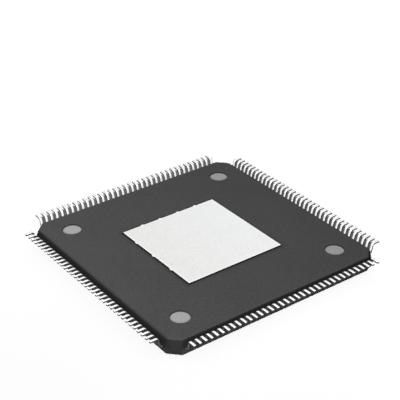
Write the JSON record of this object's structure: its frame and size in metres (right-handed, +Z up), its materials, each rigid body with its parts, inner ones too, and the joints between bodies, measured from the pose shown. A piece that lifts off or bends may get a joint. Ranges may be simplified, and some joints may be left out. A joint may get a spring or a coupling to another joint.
{
  "type": "quad flat pack chip",
  "caption": "Square black moulded chip lying underside up, with gull-wing leads on all four sides, an exposed metal pad in the middle and chamfered corners.",
  "frame": {"origin": "middle of the plain top face of the body, which lies on the table because the chip is underside up", "axes": "+Z up, out of the side with the exposed pad and the foot soles; X and Y run square to the four rows of leads; the lead 1 dimple of the plain face is in the +X +Y corner"},
  "size_m": [0.022, 0.022, 0.0016],
  "materials": {
    "mould_compound": "fine matte black filled epoxy",
    "plated_pad": "matte tin plating on copper sheet",
    "tinned_leads": "satin tin plating on copper alloy",
    "polyimide_tape": "smooth amber film",
    "silver_epoxy": "silver-filled adhesive",
    "silicon": "polished silicon",
    "gold_wire": "bright gold"
  },
  "bodies": {
    "root": {"mould_body": "mould_compound", "die_pad": "plated_pad", "leads_left": "tinned_leads", "leads_right": "tinned_leads", "leads_front": "tinned_leads", "leads_back": "tinned_leads", "lead_tape": "polyimide_tape", "die_attach": "silver_epoxy", "die": "silicon", "wires_left": "gold_wire", "wires_right": "gold_wire", "wires_front": "gold_wire", "wires_back": "gold_wire"}
  },
  "joints": []
}
